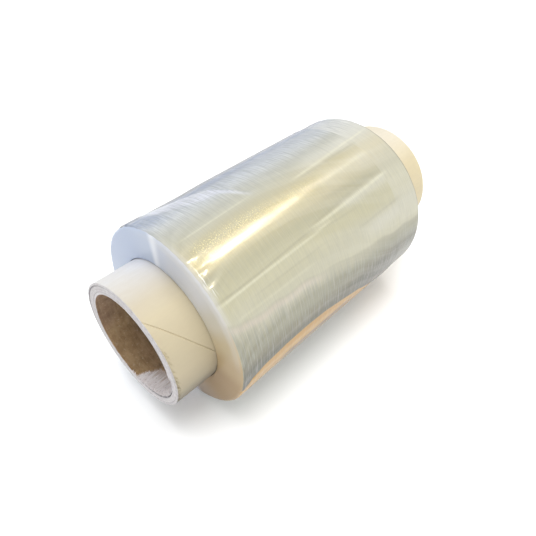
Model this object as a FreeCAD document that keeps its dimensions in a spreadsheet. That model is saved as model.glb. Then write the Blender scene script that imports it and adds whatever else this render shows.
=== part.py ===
import FreeCAD, Part
import os

import Sketcher

# A roll of stretch wrap lying on its side: a spiral-wound paperboard core that stands out of both
# ends of the film, and the film wound on it. X runs along the roll from the near mouth to the far
# one, Z is up, and the floor is at Z = 0 under the flat spot. Angles round the roll are in degrees
# from the top, positive towards the front (-Y).

SIZES = (
    ("core_length", 137.0, "core, from cut end to cut end"),
    ("core_outer", 47.0, "outside diameter of the core"),
    ("core_bore", 38.7, "diameter of the hole through the core"),
    ("film_width", 100.0, "width of the film, measured at the core"),
    ("film_outer", 70.0, "outside diameter over the outermost turn"),
    ("near_stub", 16.0, "core standing out at the near mouth"),
    ("flat_width", 10.0, "width of the flat spot that the roll rests on"),
    ("near_dome", 0.5, "how far the near rim lies back from the turns at the core"),
    ("far_dome", 0.3, "the same at the far rim"),
    ("shoulder", 1.4, "rounding of the film's two rims"),
    ("border_width", 13.5, "last band at the far rim, left bare by the outer turns"),
    ("border_step", 0.3, "drop from the outer turns to that band"),
    ("turn_lines", 3, "rings on each end face, where groups of turns part"),
    ("turn_line_width", 0.5, "width of one ring at its mouth"),
    ("turn_line_depth", 0.25, "depth of one ring"),
    ("tail_angle", 95.0, "where the free edge of the film lies"),
    ("tail_span", 62.0, "angle over which the last turn's slack runs out below its edge"),
    ("tail_step", 0.3, "height of the free edge over the turn below it"),
    ("plies", 4, "paper plies in the core's wall"),
    ("ply_line_width", 0.2, "width of the line between two plies on a cut end"),
    ("ply_line_depth", 0.25, "depth of that line"),
    ("seam_lead", 108.0, "length of core for one turn of the outer ply's seam"),
    ("seam_angle", 28.0, "where the seam meets the near cut end"),
    ("seam_width", 0.5, "width of the seam"),
    ("seam_depth", 0.25, "depth of the seam"),
    ("torn_length", 7.0, "how far into the near mouth the paper of the bore is torn off"),
    ("torn_depth", 0.7, "thickness of the paper torn off there"),
    ("torn_angle", 92.0, "where the torn place starts"),
    ("torn_span", 104.0, "angle that the torn place covers"),
)

# Lengths along the roll and radii that several features share, as expressions on the sheet
CORE_RADIUS = "Sizes.core_outer / 2"
BORE_RADIUS = "Sizes.core_bore / 2"
FILM_RADIUS = "Sizes.film_outer / 2"
BORDER_RADIUS = f"{FILM_RADIUS} - Sizes.border_step"
CORE_END = "Sizes.core_length / 2"
PLY = f"({CORE_RADIUS} - {BORE_RADIUS}) / Sizes.plies"
NEAR_FACE = "(Sizes.near_stub - Sizes.core_length / 2)"
FAR_FACE = f"({NEAR_FACE} + Sizes.film_width)"
FLAT_DROP = f"sqrt(pow({FILM_RADIUS}; 2) - pow(Sizes.flat_width / 2; 2))"
# How far a cut reaches past the surface that it cuts, mm
CLEAR = 1.0
# Flats that stand for the rounding of one rim
RIM_FLATS = 3

# The sketcher's names for the points of a line or an arc, and for a sketch's origin
START, END, CENTRE = range(1, 4)
ORIGIN = (-1, START)

doc = FreeCAD.newDocument("stretch_wrap_roll")


def fill_sheet():
    sheet = doc.addObject("Spreadsheet::Sheet", "Sizes")
    for row, (alias, value, note) in enumerate(SIZES, start=1):
        sheet.set(f"A{row}", alias)
        sheet.set(f"B{row}", str(value))
        sheet.set(f"C{row}", note)
        sheet.setAlias(f"B{row}", alias)
    doc.recompute()


def new_body(label):
    """A body whose own X axis is the roll's axis, lifted until the flat spot is on the floor."""
    body = doc.addObject("PartDesign::Body", label)
    body.Label = label
    body.setExpression("Placement.Base.z", FLAT_DROP)
    return body


def new_sketch(body, name, plane_role, turned=None):
    """A sketch on one of the body's own planes, turned about the roll's axis where asked."""
    plane = next(item for item in body.Origin.OriginFeatures if item.Role == plane_role)
    sketch = body.newObject("Sketcher::SketchObject", name)
    sketch.AttachmentSupport = [(plane, "")]
    sketch.MapMode = "FlatFace"
    if turned is not None:
        turn = FreeCAD.Rotation(FreeCAD.Vector(1, 0, 0), number(sketch, turned))
        sketch.AttachmentOffset = FreeCAD.Placement(FreeCAD.Vector(), turn)
        sketch.setExpression("AttachmentOffset.Rotation.Angle", turned)
    doc.recompute()
    return sketch


def number(sketch, expression):
    return float(sketch.evalExpression(expression))


def vector(sketch, corner):
    return FreeCAD.Vector(number(sketch, corner[0]), number(sketch, corner[1]), 0)


def hold(sketch, kind, expression, *where):
    """A dimension of the sketch, driven by an expression on the sheet."""
    dimension = Sketcher.Constraint(kind, *where, number(sketch, expression))
    index = sketch.addConstraint(dimension)
    sketch.setExpression(f"Constraints[{index}]", expression)


def hold_point(sketch, corner, *where):
    """Hold a point at its two distances from the sketch's origin."""
    hold(sketch, "DistanceX", corner[0], *ORIGIN, *where)
    hold(sketch, "DistanceY", corner[1], *ORIGIN, *where)


def join(sketch, kind, *where):
    """Tie points or lines of the sketch to each other."""
    sketch.addConstraint(Sketcher.Constraint(kind, *where))


def add_circle(sketch, radius):
    """A circle about the roll's axis."""
    circle = Part.Circle(FreeCAD.Vector(), FreeCAD.Vector(0, 0, 1), number(sketch, radius))
    index = sketch.addGeometry(circle)
    join(sketch, "Coincident", index, CENTRE, *ORIGIN)
    hold(sketch, "Radius", radius, index)


def add_lines(sketch, corners):
    """Straight lines from corner to corner, each corner a pair of expressions."""
    points = [vector(sketch, corner) for corner in corners]
    lines = [
        sketch.addGeometry(Part.LineSegment(here, there))
        for here, there in zip(points, points[1:])
    ]
    for line, following in zip(lines, lines[1:]):
        join(sketch, "Coincident", line, END, following, START)
    for line, corner in zip(lines, corners):
        hold_point(sketch, corner, line, START)
    return lines


def add_outline(sketch, corners):
    """A closed outline of straight lines."""
    lines = add_lines(sketch, (*corners, corners[0]))
    join(sketch, "Coincident", lines[-1], END, lines[0], START)


def turn_profile(body, kind, name, sketch, angle=None):
    """Revolve a sketch about the roll's axis, to add or to cut."""
    feature = body.newObject(kind, name)
    feature.Profile = sketch
    feature.ReferenceAxis = (sketch, ["H_Axis"])
    if angle:
        feature.setExpression("Angle", angle)
    else:
        feature.Angle = 360


def cut_along(body, name, sketch):
    """Cut a sketch of the roll's section through its whole length."""
    pocket = body.newObject("PartDesign::Pocket", name)
    pocket.Profile = sketch
    pocket.SideType = "Symmetric"
    pocket.Type = "ThroughAll"


def make_core():
    body = new_body("core_tube")

    wall = new_sketch(body, "wall_section", "YZ_Plane")
    add_circle(wall, CORE_RADIUS)
    add_circle(wall, BORE_RADIUS)
    tube = body.newObject("PartDesign::Pad", "wound_wall")
    tube.Profile = wall
    tube.SideType = "Symmetric"
    tube.setExpression("Length", "Sizes.core_length")

    # The lines between the plies, seen on both cut ends
    lines = new_sketch(body, "ply_line_profiles", "XZ_Plane")
    for ply in range(1, int(lines.evalExpression("Sizes.plies"))):
        radius = f"{BORE_RADIUS} + {ply} * {PLY}"
        for side in ("-", ""):
            add_outline(
                lines,
                (
                    (f"{side}({CORE_END} + {CLEAR})", f"{radius} - Sizes.ply_line_width / 2"),
                    (f"{side}{CORE_END}", f"{radius} - Sizes.ply_line_width / 2"),
                    (f"{side}({CORE_END} - Sizes.ply_line_depth)", radius),
                    (f"{side}{CORE_END}", f"{radius} + Sizes.ply_line_width / 2"),
                    (f"{side}({CORE_END} + {CLEAR})", f"{radius} + Sizes.ply_line_width / 2"),
                ),
            )
    turn_profile(body, "PartDesign::Groove", "ply_lines", lines)

    # The place in the near mouth where the paper of the bore is torn off
    torn = new_sketch(body, "torn_profile", "XZ_Plane", turned="Sizes.torn_angle")
    outside = f"-({CORE_END} + {CLEAR})"
    torn_back = f"-({CORE_END} - Sizes.torn_length)"
    torn_floor = f"{BORE_RADIUS} + Sizes.torn_depth"
    in_the_hole = f"{BORE_RADIUS} - {CLEAR}"
    add_outline(
        torn,
        (
            (outside, in_the_hole),
            (outside, torn_floor),
            (torn_back, torn_floor),
            (torn_back, in_the_hole),
        ),
    )
    turn_profile(body, "PartDesign::Groove", "torn_ply", torn, "Sizes.torn_span")

    # The outer ply's seam, a shallow helix from end to end
    start_angle = f"Sizes.seam_angle - 360 * {CLEAR} / Sizes.seam_lead"
    seam = new_sketch(body, "seam_profile", "XZ_Plane", turned=start_angle)
    seam_back = f"-({CORE_END} + {CLEAR} + Sizes.seam_width / 2)"
    seam_front = f"-({CORE_END} + {CLEAR} - Sizes.seam_width / 2)"
    seam_floor = f"{CORE_RADIUS} - Sizes.seam_depth"
    seam_top = f"{CORE_RADIUS} + {CLEAR}"
    add_outline(
        seam,
        (
            (seam_back, seam_top),
            (seam_back, seam_floor),
            (seam_front, seam_floor),
            (seam_front, seam_top),
        ),
    )
    helix = body.newObject("PartDesign::SubtractiveHelix", "outer_seam")
    helix.Profile = seam
    helix.ReferenceAxis = (seam, ["H_Axis"])
    helix.Mode = "pitch-height-angle"
    helix.setExpression("Pitch", "Sizes.seam_lead")
    helix.setExpression("Height", f"Sizes.core_length + 2 * {CLEAR}")
    return body


def make_film():
    body = new_body("film_roll")

    near_rim = f"{NEAR_FACE} + Sizes.near_dome"
    far_rim = f"{FAR_FACE} - Sizes.far_dome"
    border = f"{far_rim} - Sizes.border_width"
    profile = new_sketch(body, "film_profile", "XZ_Plane")
    add_outline(
        profile,
        (
            (NEAR_FACE, CORE_RADIUS),
            *rim_corners(near_rim, "+", FILM_RADIUS),
            (border, FILM_RADIUS),
            (border, BORDER_RADIUS),
            *reversed(rim_corners(far_rim, "-", BORDER_RADIUS)),
            (FAR_FACE, CORE_RADIUS),
        ),
    )
    turn_profile(body, "PartDesign::Revolution", "wound_film", profile)

    # Rings on the end faces, where one group of turns lies a little back from the next
    rings = new_sketch(body, "turn_line_profiles", "XZ_Plane")
    count = int(rings.evalExpression("Sizes.turn_lines"))
    for ring in range(1, count + 1):
        share = f"{ring} / (Sizes.turn_lines + 1)"
        for out, back, face, dome, rim_radius in (
            ("-", "+", NEAR_FACE, "Sizes.near_dome", FILM_RADIUS),
            ("+", "-", FAR_FACE, "Sizes.far_dome", BORDER_RADIUS),
        ):
            here = f"{face} {back} {dome} * {share}"
            radius = f"{CORE_RADIUS} + ({rim_radius} - Sizes.shoulder - {CORE_RADIUS}) * {share}"
            add_outline(
                rings,
                (
                    (f"{here} {out} Sizes.turn_line_depth", f"{radius} - Sizes.turn_line_width"),
                    (f"{here} {back} Sizes.turn_line_depth", radius),
                    (f"{here} {out} Sizes.turn_line_depth", f"{radius} + Sizes.turn_line_width"),
                ),
            )
    turn_profile(body, "PartDesign::Groove", "turn_lines", rings)

    # The free edge of the last turn: a step, below which the slack runs out to nothing
    cut_along(body, "tail_edge", make_tail_sketch(body))

    # The flat spot, where the soft turns carry the roll's weight
    flat = new_sketch(body, "flat_profile", "YZ_Plane")
    add_outline(
        flat,
        (
            (f"-{FILM_RADIUS}", f"-{FLAT_DROP}"),
            (f"-{FILM_RADIUS}", f"-({FILM_RADIUS} + {CLEAR})"),
            (FILM_RADIUS, f"-({FILM_RADIUS} + {CLEAR})"),
            (FILM_RADIUS, f"-{FLAT_DROP}"),
        ),
    )
    cut_along(body, "flat_spot", flat)
    return body


def rim_corners(rim, inward, radius):
    """A rim's rounding as short flats, from the end face to the outermost turn."""
    corners = []
    for step in range(RIM_FLATS + 1):
        angle = 90 * step / RIM_FLATS
        across = f"{rim} {inward} Sizes.shoulder * (1 - cos({angle}))"
        corners.append((across, f"{radius} - Sizes.shoulder * (1 - sin({angle}))"))
    return corners


def make_tail_sketch(body):
    """The crescent that is missing below the free edge, between the full circle and an arc that
    leaves that circle at the end of the slack and passes one step under it at the edge."""
    sketch = new_sketch(body, "tail_profile", "YZ_Plane")
    under = f"({FILM_RADIUS} - Sizes.tail_step)"
    reach = f"({under} * cos(Sizes.tail_span))"
    bend = (
        f"(pow({under}; 2) + pow({FILM_RADIUS}; 2) - 2 * {FILM_RADIUS} * {reach})"
        f" / (2 * ({FILM_RADIUS} - {reach}))"
    )
    edge = "Sizes.tail_angle"
    halfway = "(Sizes.tail_angle + Sizes.tail_span / 2)"
    run_out = "(Sizes.tail_angle + Sizes.tail_span)"
    corners = [
        (f"-{radius} * sin({angle})", f"{radius} * cos({angle})")
        for radius, angle in (
            (under, edge),
            (f"({FILM_RADIUS} + {CLEAR})", edge),
            (f"({FILM_RADIUS} * 1.5)", halfway),
            (f"({FILM_RADIUS} + {CLEAR})", run_out),
            (FILM_RADIUS, run_out),
        )
    ]
    lines = add_lines(sketch, corners)
    bend_centre = (
        f"-({FILM_RADIUS} - {bend}) * sin({run_out})",
        f"({FILM_RADIUS} - {bend}) * cos({run_out})",
    )
    middle = vector(sketch, bend_centre)
    circle = Part.Circle(middle, FreeCAD.Vector(0, 0, 1), number(sketch, bend))
    start = circle.parameter(vector(sketch, corners[0]))
    end = circle.parameter(vector(sketch, corners[-1]))
    arc = sketch.addGeometry(Part.ArcOfCircle(circle, start, end))
    join(sketch, "Coincident", lines[0], START, arc, START)
    join(sketch, "Coincident", lines[-1], END, arc, END)
    hold_point(sketch, bend_centre, arc, CENTRE)
    hold(sketch, "DistanceX", corners[-1][0], *ORIGIN, lines[-1], END)
    return sketch


fill_sheet()
bodies = (make_core(), make_film())
doc.recompute()

for item in doc.Objects:
    if "Invalid" in item.State or "Error" in item.State:
        raise RuntimeError(f"{item.Label} did not build: {item.State}")

os.makedirs("parts", exist_ok=True)
for body in bodies:
    if body.Shape.isNull() or not body.Shape.isValid():
        raise RuntimeError(f"{body.Label} has no valid shape")
    body.Shape.exportStep(f"parts/{body.Label}.step")
    box = body.Shape.BoundBox
    print(body.Label, round(body.Shape.Volume), len(body.Shape.Solids), box)
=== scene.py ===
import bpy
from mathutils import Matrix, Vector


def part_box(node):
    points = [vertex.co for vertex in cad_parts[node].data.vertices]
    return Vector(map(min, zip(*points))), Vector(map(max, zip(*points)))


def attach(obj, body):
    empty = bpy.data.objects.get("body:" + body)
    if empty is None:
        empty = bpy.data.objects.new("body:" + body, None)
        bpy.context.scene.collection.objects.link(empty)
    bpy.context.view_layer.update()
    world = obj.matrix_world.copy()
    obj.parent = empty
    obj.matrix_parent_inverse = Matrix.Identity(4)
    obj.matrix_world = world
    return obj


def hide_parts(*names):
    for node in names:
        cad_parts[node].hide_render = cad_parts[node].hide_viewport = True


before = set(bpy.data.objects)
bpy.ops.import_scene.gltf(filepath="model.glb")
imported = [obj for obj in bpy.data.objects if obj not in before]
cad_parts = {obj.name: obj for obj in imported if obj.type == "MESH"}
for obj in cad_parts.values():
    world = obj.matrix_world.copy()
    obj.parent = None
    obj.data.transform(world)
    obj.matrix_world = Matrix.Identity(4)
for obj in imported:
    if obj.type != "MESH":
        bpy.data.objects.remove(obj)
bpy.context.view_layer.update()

from types import SimpleNamespace

import bpy
import numpy as np
from mathutils import Matrix, Vector

bl_info = {
    "name": "Stretch Wrap Roll",
    "version": (1, 0, 0),
    "blender": (4, 5, 0),
    "location": "View3D > Sidebar > Wrap Roll",
    "description": "Builds a roll of clear stretch wrap on its paperboard core, with a plain stage",
    "category": "Object",
}

CORE_LOW, CORE_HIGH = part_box("core_tube")
FILM_LOW, FILM_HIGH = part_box("film_roll")
MM = 0.001
FULL_TURN = 2 * np.pi

# The axis runs along X at this height. Angles go round it from the top toward the front, which is -Y.
AXIS_HEIGHT = (CORE_LOW.z + CORE_HIGH.z) / 2
CORE_RADIUS = (CORE_HIGH.y - CORE_LOW.y) / 2
FILM_RADIUS = (FILM_HIGH.y - FILM_LOW.y) / 2
NEAR_MOUTH = CORE_LOW.x
FAR_MOUTH = CORE_HIGH.x
NEAR_FACE = FILM_LOW.x
FAR_FACE = FILM_HIGH.x

# Columns of points round the film and round the core
FILM_COLUMNS = 552
CORE_COLUMNS = 540
# Thickness of the film's last turn at its free edge, and how deep the gap under it goes into the turn below
EDGE_THICKNESS = 0.14 * MM
EDGE_GAP = 0.10 * MM
# The core's surfaces, in the order of its materials
OUTSIDE, CUT_END, BORE, TORN = range(4)
BLACK = (0.0, 0.0, 0.0)
WHITE = (1.0, 1.0, 1.0)

# How the free edge of the last turn wanders: millimetres from the near mouth, degrees from the top
FREE_EDGE = (
    (15.8, 109.0), (17.8, 104.3), (21.0, 98.2), (26.0, 94.6), (36.4, 92.0), (46.6, 91.3),
    (56.8, 92.2), (67.0, 95.6), (77.0, 99.8), (87.0, 108.0), (96.0, 114.0), (116.5, 117.0),
)
# Where the grey zone above that edge starts: millimetres from the near mouth, degrees from the top
GREY_BORDER = (
    (17.0, 56.5), (21.0, 59.5), (38.0, 61.8), (46.0, 62.0), (60.0, 64.5), (77.0, 70.0),
    (97.0, 74.0), (108.0, 76.0),
)
# Top line of the fold on the upper back, in the same measures
FOLD_LINE = ((22.0, -42.0), (26.0, -33.0), (33.5, -26.0), (41.0, -20.5), (44.6, -16.6), (52.0, 4.0))
# Long ridges and grooves, painted with a highlight on each ridge and shade in each groove: first and last
# millimetre from the near mouth, degrees from the top at each of those ends, half width in degrees, and
# height, which is below 0 for a groove
RIDGES = (
    (18.0, 68.0, 47.2, 43.4, 1.3, 1.0),
    (18.0, 66.0, 45.3, 41.7, 1.1, -0.8),
    (60.0, 103.0, 41.6, 38.6, 1.6, 1.2),
    (62.0, 92.0, 39.6, 36.4, 1.3, -0.6),
    (70.0, 112.0, 11.4, 7.4, 1.2, 0.9),
    (72.0, 103.0, 13.4, 12.2, 1.2, -0.8),
    (76.0, 103.0, 22.4, 20.8, 2.4, 0.5),
    (56.0, 82.0, 43.0, 46.0, 0.9, -0.5),
    (74.0, 100.0, 31.5, 35.5, 2.6, -0.5),
    (30.0, 62.0, 52.6, 52.0, 0.9, -0.4),
    (22.0, 50.0, 8.4, 7.0, 0.9, 0.6),
    (80.0, 104.0, 57.5, 56.5, 1.2, -0.5),
)
# How far into the bore the inner ply is torn off: degrees from the top, millimetres from the near mouth
TORN_BORDER = (
    (86.0, 0.0), (92.0, 4.0), (104.0, 6.8), (127.0, 7.6), (150.0, 8.2), (165.0, 8.6),
    (172.0, 8.4), (178.0, 8.2), (180.5, 7.0), (183.0, 5.6), (186.0, 3.7), (188.5, 1.0),
    (195.0, 0.5), (197.0, 0.0),
)
# Where the camera stands, which way it looks and which way its right is
CAMERA_PLACE = (-0.11258, -0.10383, 0.16761)
CAMERA_AHEAD = (0.5236, 0.5034, -0.6874)
CAMERA_RIGHT = (0.6931, -0.7209, 0.0)
CAMERA_LENS = 34.69
# The line of the strip lamps: its place, its direction, and what they face
STRIP_PLACE = (0.325, -0.088, 0.667)
STRIP_RUN = (0.247, 0.140, 0.0)
STRIP_TARGET = (-0.02, -0.014, 0.067)
# Each strip lamp's name, shift along that line, length and width, and power
STRIPS = (("strip", -0.03, (0.30, 0.012), 1.7), ("near_strip", -0.06, (0.20, 0.024), 2.3))
# The side that the warm light comes from
WARM_SIDE = (0.6, -0.8, 0.0)


def length(name, description, default):
    return bpy.props.FloatProperty(
        name=name, description=description, default=default, subtype="DISTANCE", unit="LENGTH", precision=5
    )


def turn(name, description, default):
    return bpy.props.FloatProperty(
        name=name, description=description, default=np.radians(default), subtype="ANGLE", unit="ROTATION"
    )


def share(name, description, default):
    return bpy.props.FloatProperty(
        name=name, description=description, default=default, min=0.0, max=1.0, subtype="FACTOR"
    )


def colour(name, description, default):
    return bpy.props.FloatVectorProperty(
        name=name, description=description, default=default, size=3, min=0.0, max=1.0, subtype="COLOR"
    )


class FilmSettings(bpy.types.PropertyGroup):
    near_dome: length("Near dome", "How far the near end face stands out beside the core", 0.5 * MM)
    far_dome: length("Far dome", "How far the far end face stands out beside the core", 0.3 * MM)
    shoulder: length("Shoulder", "Radius of the rims' rounding", 1.4 * MM)
    border_width: length("Border width", "Width of the lower band at the far rim", 13.5 * MM)
    border_step: length("Border step", "How far that band lies below the rest", 0.3 * MM)
    edge_step: length("Edge step", "How far the film below the free edge lies under it", 0.25 * MM)
    edge_slack: turn("Edge slack", "How far round that step runs out", 62.0)
    wrinkle_depth: length("Wrinkle depth", "Depth of the long soft wrinkles", 0.06 * MM)
    # These tints carry painted light round the roll: the upper back is a painted shadow, the top a painted
    # cool light, the warm front a painted glow beside the long highlight, the low front painted shade above
    # the free edge, and the slack a painted warm reflection
    back_tint: colour("Back", "Film on the back of the roll", (0.52, 0.54, 0.52))
    top_tint: colour("Top", "Film on the top of the roll", (0.60, 0.63, 0.68))
    upper_back_shade_tint: colour("Upper back", "Film where the top turns to the back", (0.17, 0.22, 0.37))
    front_tint: colour("Front", "Film on the upper front", (0.63, 0.60, 0.42))
    warm_tint: colour("Warm front", "Film beside the long highlight", (0.72, 0.62, 0.38))
    low_tint: colour("Low front", "Film just above the free edge", (0.15, 0.14, 0.095))
    slack_reflection_tint: colour("Slack", "Film just below the free edge", (0.52, 0.28, 0.05))
    gloss: share("Gloss", "Strength of the film's clear sheen", 0.35)


class CoreSettings(bpy.types.PropertyGroup):
    bore_radius: length("Bore radius", "Radius of the core's bore", 19.35 * MM)
    seam_lead: length("Seam lead", "Length along the core for one turn of its seam", 108.0 * MM)
    seam_angle: turn("Seam angle", "Where the seam starts at the near mouth", 28.0)
    seam_depth: length("Seam depth", "Depth of the outer ply's seam", 0.22 * MM)
    torn_depth: length("Torn depth", "Depth of the torn place in the bore", 0.65 * MM)
    outer_tint: colour("Outer ply", "Smooth pale paper of the outer ply", (0.70, 0.61, 0.42))
    # The lower side's tint is painted shade
    shade_tint: colour("Lower side", "The outer ply's darker lower side", (0.16, 0.14, 0.10))
    cut_tint: colour("Cut edge", "Cut ends of the plies", (0.66, 0.62, 0.62))
    # Deep in the bore the paper is painted into shade; by the near mouth its lower wall is painted with
    # light
    kraft_tint: colour("Bore", "Brown paper deep in the bore", (0.27, 0.165, 0.13))
    gold_tint: colour("Bore at the mouth", "Brown paper of the bore by the near mouth", (0.52, 0.34, 0.16))
    torn_tint: colour("Torn paper", "Torn fibres in the mouth", (0.93, 0.88, 0.88))
    fibres: bpy.props.IntProperty(name="Fibres", description="Loose fibres at the near mouth", default=70)


class StageSettings(bpy.types.PropertyGroup):
    floor_size: length("Floor size", "Length of each side of the floor", 8.0)
    floor_tint: colour("Floor", "Colour of the floor", (0.92, 0.925, 0.935))
    cool_tint: colour("Cool side", "Light from behind, on the near side", (0.93, 0.97, 1.0))
    warm_tint: colour("Warm side", "Light from the front, on the far side", (1.0, 0.975, 0.93))
    sky_strength: share("Surrounding light", "Strength of the light from all round", 0.80)


def waves(seed, around, along, count, turns, cycles):
    """Smooth noise of about -1 to 1: cosines that close round the roll, with a spread of cycles a metre."""
    random = np.random.default_rng(seed)
    total = np.zeros(np.broadcast(around, along).shape)
    for _ in range(count):
        whole = random.integers(turns[0], turns[1] + 1) * random.choice((-1, 1))
        rate = random.uniform(*cycles)
        start = random.uniform(0, FULL_TURN)
        total += np.cos(whole * around + FULL_TURN * rate * along + start)
    return total / np.sqrt(count)


def smooth(low, high, value):
    """0 below low, 1 above high, with an even slope between them."""
    part = np.clip((value - low) / (high - low), 0, 1)
    return part * part * (3 - 2 * part)


def hump(middle, half, value):
    """1 at the middle, falling softly to 0 at half a width away."""
    return smooth(half, 0, np.abs(value - middle))


def on_roll(along, around, radius):
    """Points in the frame from places along the axis, angles from the top toward the front, and radii."""
    along, around, radius = np.broadcast_arrays(along, around, radius)
    return np.stack(
        (along, -radius * np.sin(around), AXIS_HEIGHT + radius * np.cos(around)), axis=-1
    )


def woven_piece(name, points, around_uv, along_uv, materials, zone, marks):
    """A closed skin over a grid of points whose rows and columns both close on themselves.
    zone gives each row's material, or each face's, and marks are shares stored at each point by name."""
    rows, columns = points.shape[:2]
    row = np.arange(rows)[:, None]
    column = np.arange(columns)[None, :]
    next_row = (row + 1) % rows
    next_column = (column + 1) % columns
    corners = ((row, column), (row, next_column), (next_row, next_column), (next_row, column))
    faces = np.stack([down * columns + over for down, over in corners], axis=-1).reshape(-1, 4)
    mesh = bpy.data.meshes.new(name)
    mesh.from_pydata(points.reshape(-1, 3).tolist(), [], faces.tolist())
    layer = mesh.uv_layers.new(name="film_way")
    # The last column's faces keep its own value on both sides, where the way round closes
    beside = np.minimum(column + 1, columns - 1)
    open_corners = ((row, column), (row, beside), (next_row, beside), (next_row, column))
    u = np.stack([around_uv[corner] for corner in open_corners], axis=-1)
    v = np.stack([along_uv[corner] for corner in corners], axis=-1)
    layer.data.foreach_set("uv", np.stack((u, v), axis=-1).astype(np.float32).ravel())
    for material in materials:
        mesh.materials.append(material)
    index = np.broadcast_to(zone, (rows, columns)).astype(np.int32).ravel()
    mesh.polygons.foreach_set("material_index", index)
    mesh.polygons.foreach_set("use_smooth", np.ones(len(faces), bool))
    for mark, values in marks.items():
        stored = mesh.attributes.new(mark, "FLOAT", "POINT")
        stored.data.foreach_set("value", np.broadcast_to(values, (rows, columns)).astype(np.float32).ravel())
    mesh.set_sharp_from_angle(angle=np.radians(42))
    mesh.update()
    piece = bpy.data.objects.new(name, mesh)
    bpy.context.scene.collection.objects.link(piece)
    return piece


class Recipe:
    """A material, or the surroundings, under construction, with one shader."""

    def __init__(self, kept, shader="Principled BSDF"):
        kept.use_nodes = True
        self.kept = kept
        self.nodes = kept.node_tree.nodes
        self.links = kept.node_tree.links
        self.shader = self.nodes[shader]

    def add(self, kind, settings=None, **inputs):
        """A node with its settings, and inputs by name as values or as other nodes' outputs."""
        node = self.nodes.new(kind)
        for key, value in (settings or {}).items():
            setattr(node, key, value)
        for key, value in inputs.items():
            self.put(node.inputs[key.replace("_", " ")], value)
        return node

    def put(self, socket, value):
        if isinstance(value, bpy.types.NodeSocket):
            self.links.new(value, socket)
        else:
            socket.default_value = value

    def finish(self, **inputs):
        for key, value in inputs.items():
            self.put(self.shader.inputs[key.replace("_", " ")], value)
        return self.kept

    def place(self, kind):
        """Object is the place in metres in the frame, UV the shares of the way round and along the piece,
        and Generated the direction in the surroundings."""
        return self.add("ShaderNodeTexCoord").outputs[kind]

    def parts(self, place):
        return self.add("ShaderNodeSeparateXYZ", Vector=place).outputs

    def stretched(self, source, scale, detail=3.0, roughness=0.5, distortion=0.0):
        """Noise whose grain is stretched: scale is how many grains fit in each direction."""
        mapped = self.add("ShaderNodeMapping", Vector=source, Scale=scale)
        noise = self.add(
            "ShaderNodeTexNoise",
            Vector=mapped.outputs["Vector"],
            Scale=1.0,
            Detail=detail,
            Roughness=roughness,
            Distortion=distortion,
        )
        return noise.outputs["Fac"]

    def mark(self, name):
        """A share that is stored at the mesh's points."""
        return self.add("ShaderNodeAttribute", {"attribute_name": name}).outputs["Fac"]

    def levels(self, value, low, high, to_low=0.0, to_high=1.0):
        """The value moved from one range to another, and held inside it."""
        range_of = {"From_Min": low, "From_Max": high, "To_Min": to_low, "To_Max": to_high}
        return self.add("ShaderNodeMapRange", {"clamp": True}, Value=value, **range_of).outputs["Result"]

    def combine(self, operation, first, second):
        node = self.add("ShaderNodeMath", {"operation": operation})
        self.put(node.inputs[0], first)
        self.put(node.inputs[1], second)
        return node.outputs["Value"]

    def sum(self, first, second):
        return self.combine("ADD", first, second)

    def product(self, first, second):
        return self.combine("MULTIPLY", first, second)

    def mix(self, amount, first, second):
        """The second colour laid over the first. A colour is a tuple or another node's output."""
        node = self.add("ShaderNodeMix", {"data_type": "RGBA"})
        self.put(node.inputs["Factor"], amount)
        self.put(node.inputs[6], solid(first) if isinstance(first, tuple) else first)
        self.put(node.inputs[7], solid(second) if isinstance(second, tuple) else second)
        return node.outputs[2]

    def ramp(self, value, stops, interpolation="EASE"):
        node = self.add("ShaderNodeValToRGB", Fac=value)
        node.color_ramp.interpolation = interpolation
        elements = node.color_ramp.elements
        while len(elements) < len(stops):
            elements.new(0.5)
        for element, (place, tint) in zip(elements, stops):
            element.position = place
            element.color = solid(tint)
        return node.outputs["Color"]

    def angle(self):
        """The angle from the top toward the front, as a share: 0.5 at the top, 0.75 in front."""
        parts = self.parts(self.place("Object"))
        front = self.product(parts["Y"], -1.0)
        height = self.combine("SUBTRACT", parts["Z"], AXIS_HEIGHT)
        return self.levels(self.combine("ARCTAN2", front, height), -np.pi, np.pi)

    def bump(self, height, depth, strength, under=None):
        node = self.add("ShaderNodeBump", Height=height, Distance=depth, Strength=strength)
        if under is not None:
            self.links.new(under, node.inputs["Normal"])
        return node.outputs["Normal"]


def solid(tint):
    """A colour as a socket takes it, with full cover."""
    return (tint[0], tint[1], tint[2], 1.0)


def blend(first, second, part):
    """The colour that lies a part of the way from the first to the second."""
    return tuple(a + (b - a) * part for a, b in zip(first, second))


def by_angle(stops):
    """A ramp's stops, given in degrees from the top toward the front."""
    return tuple(((degrees + 180) / 360, tint) for degrees, tint in stops)


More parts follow.
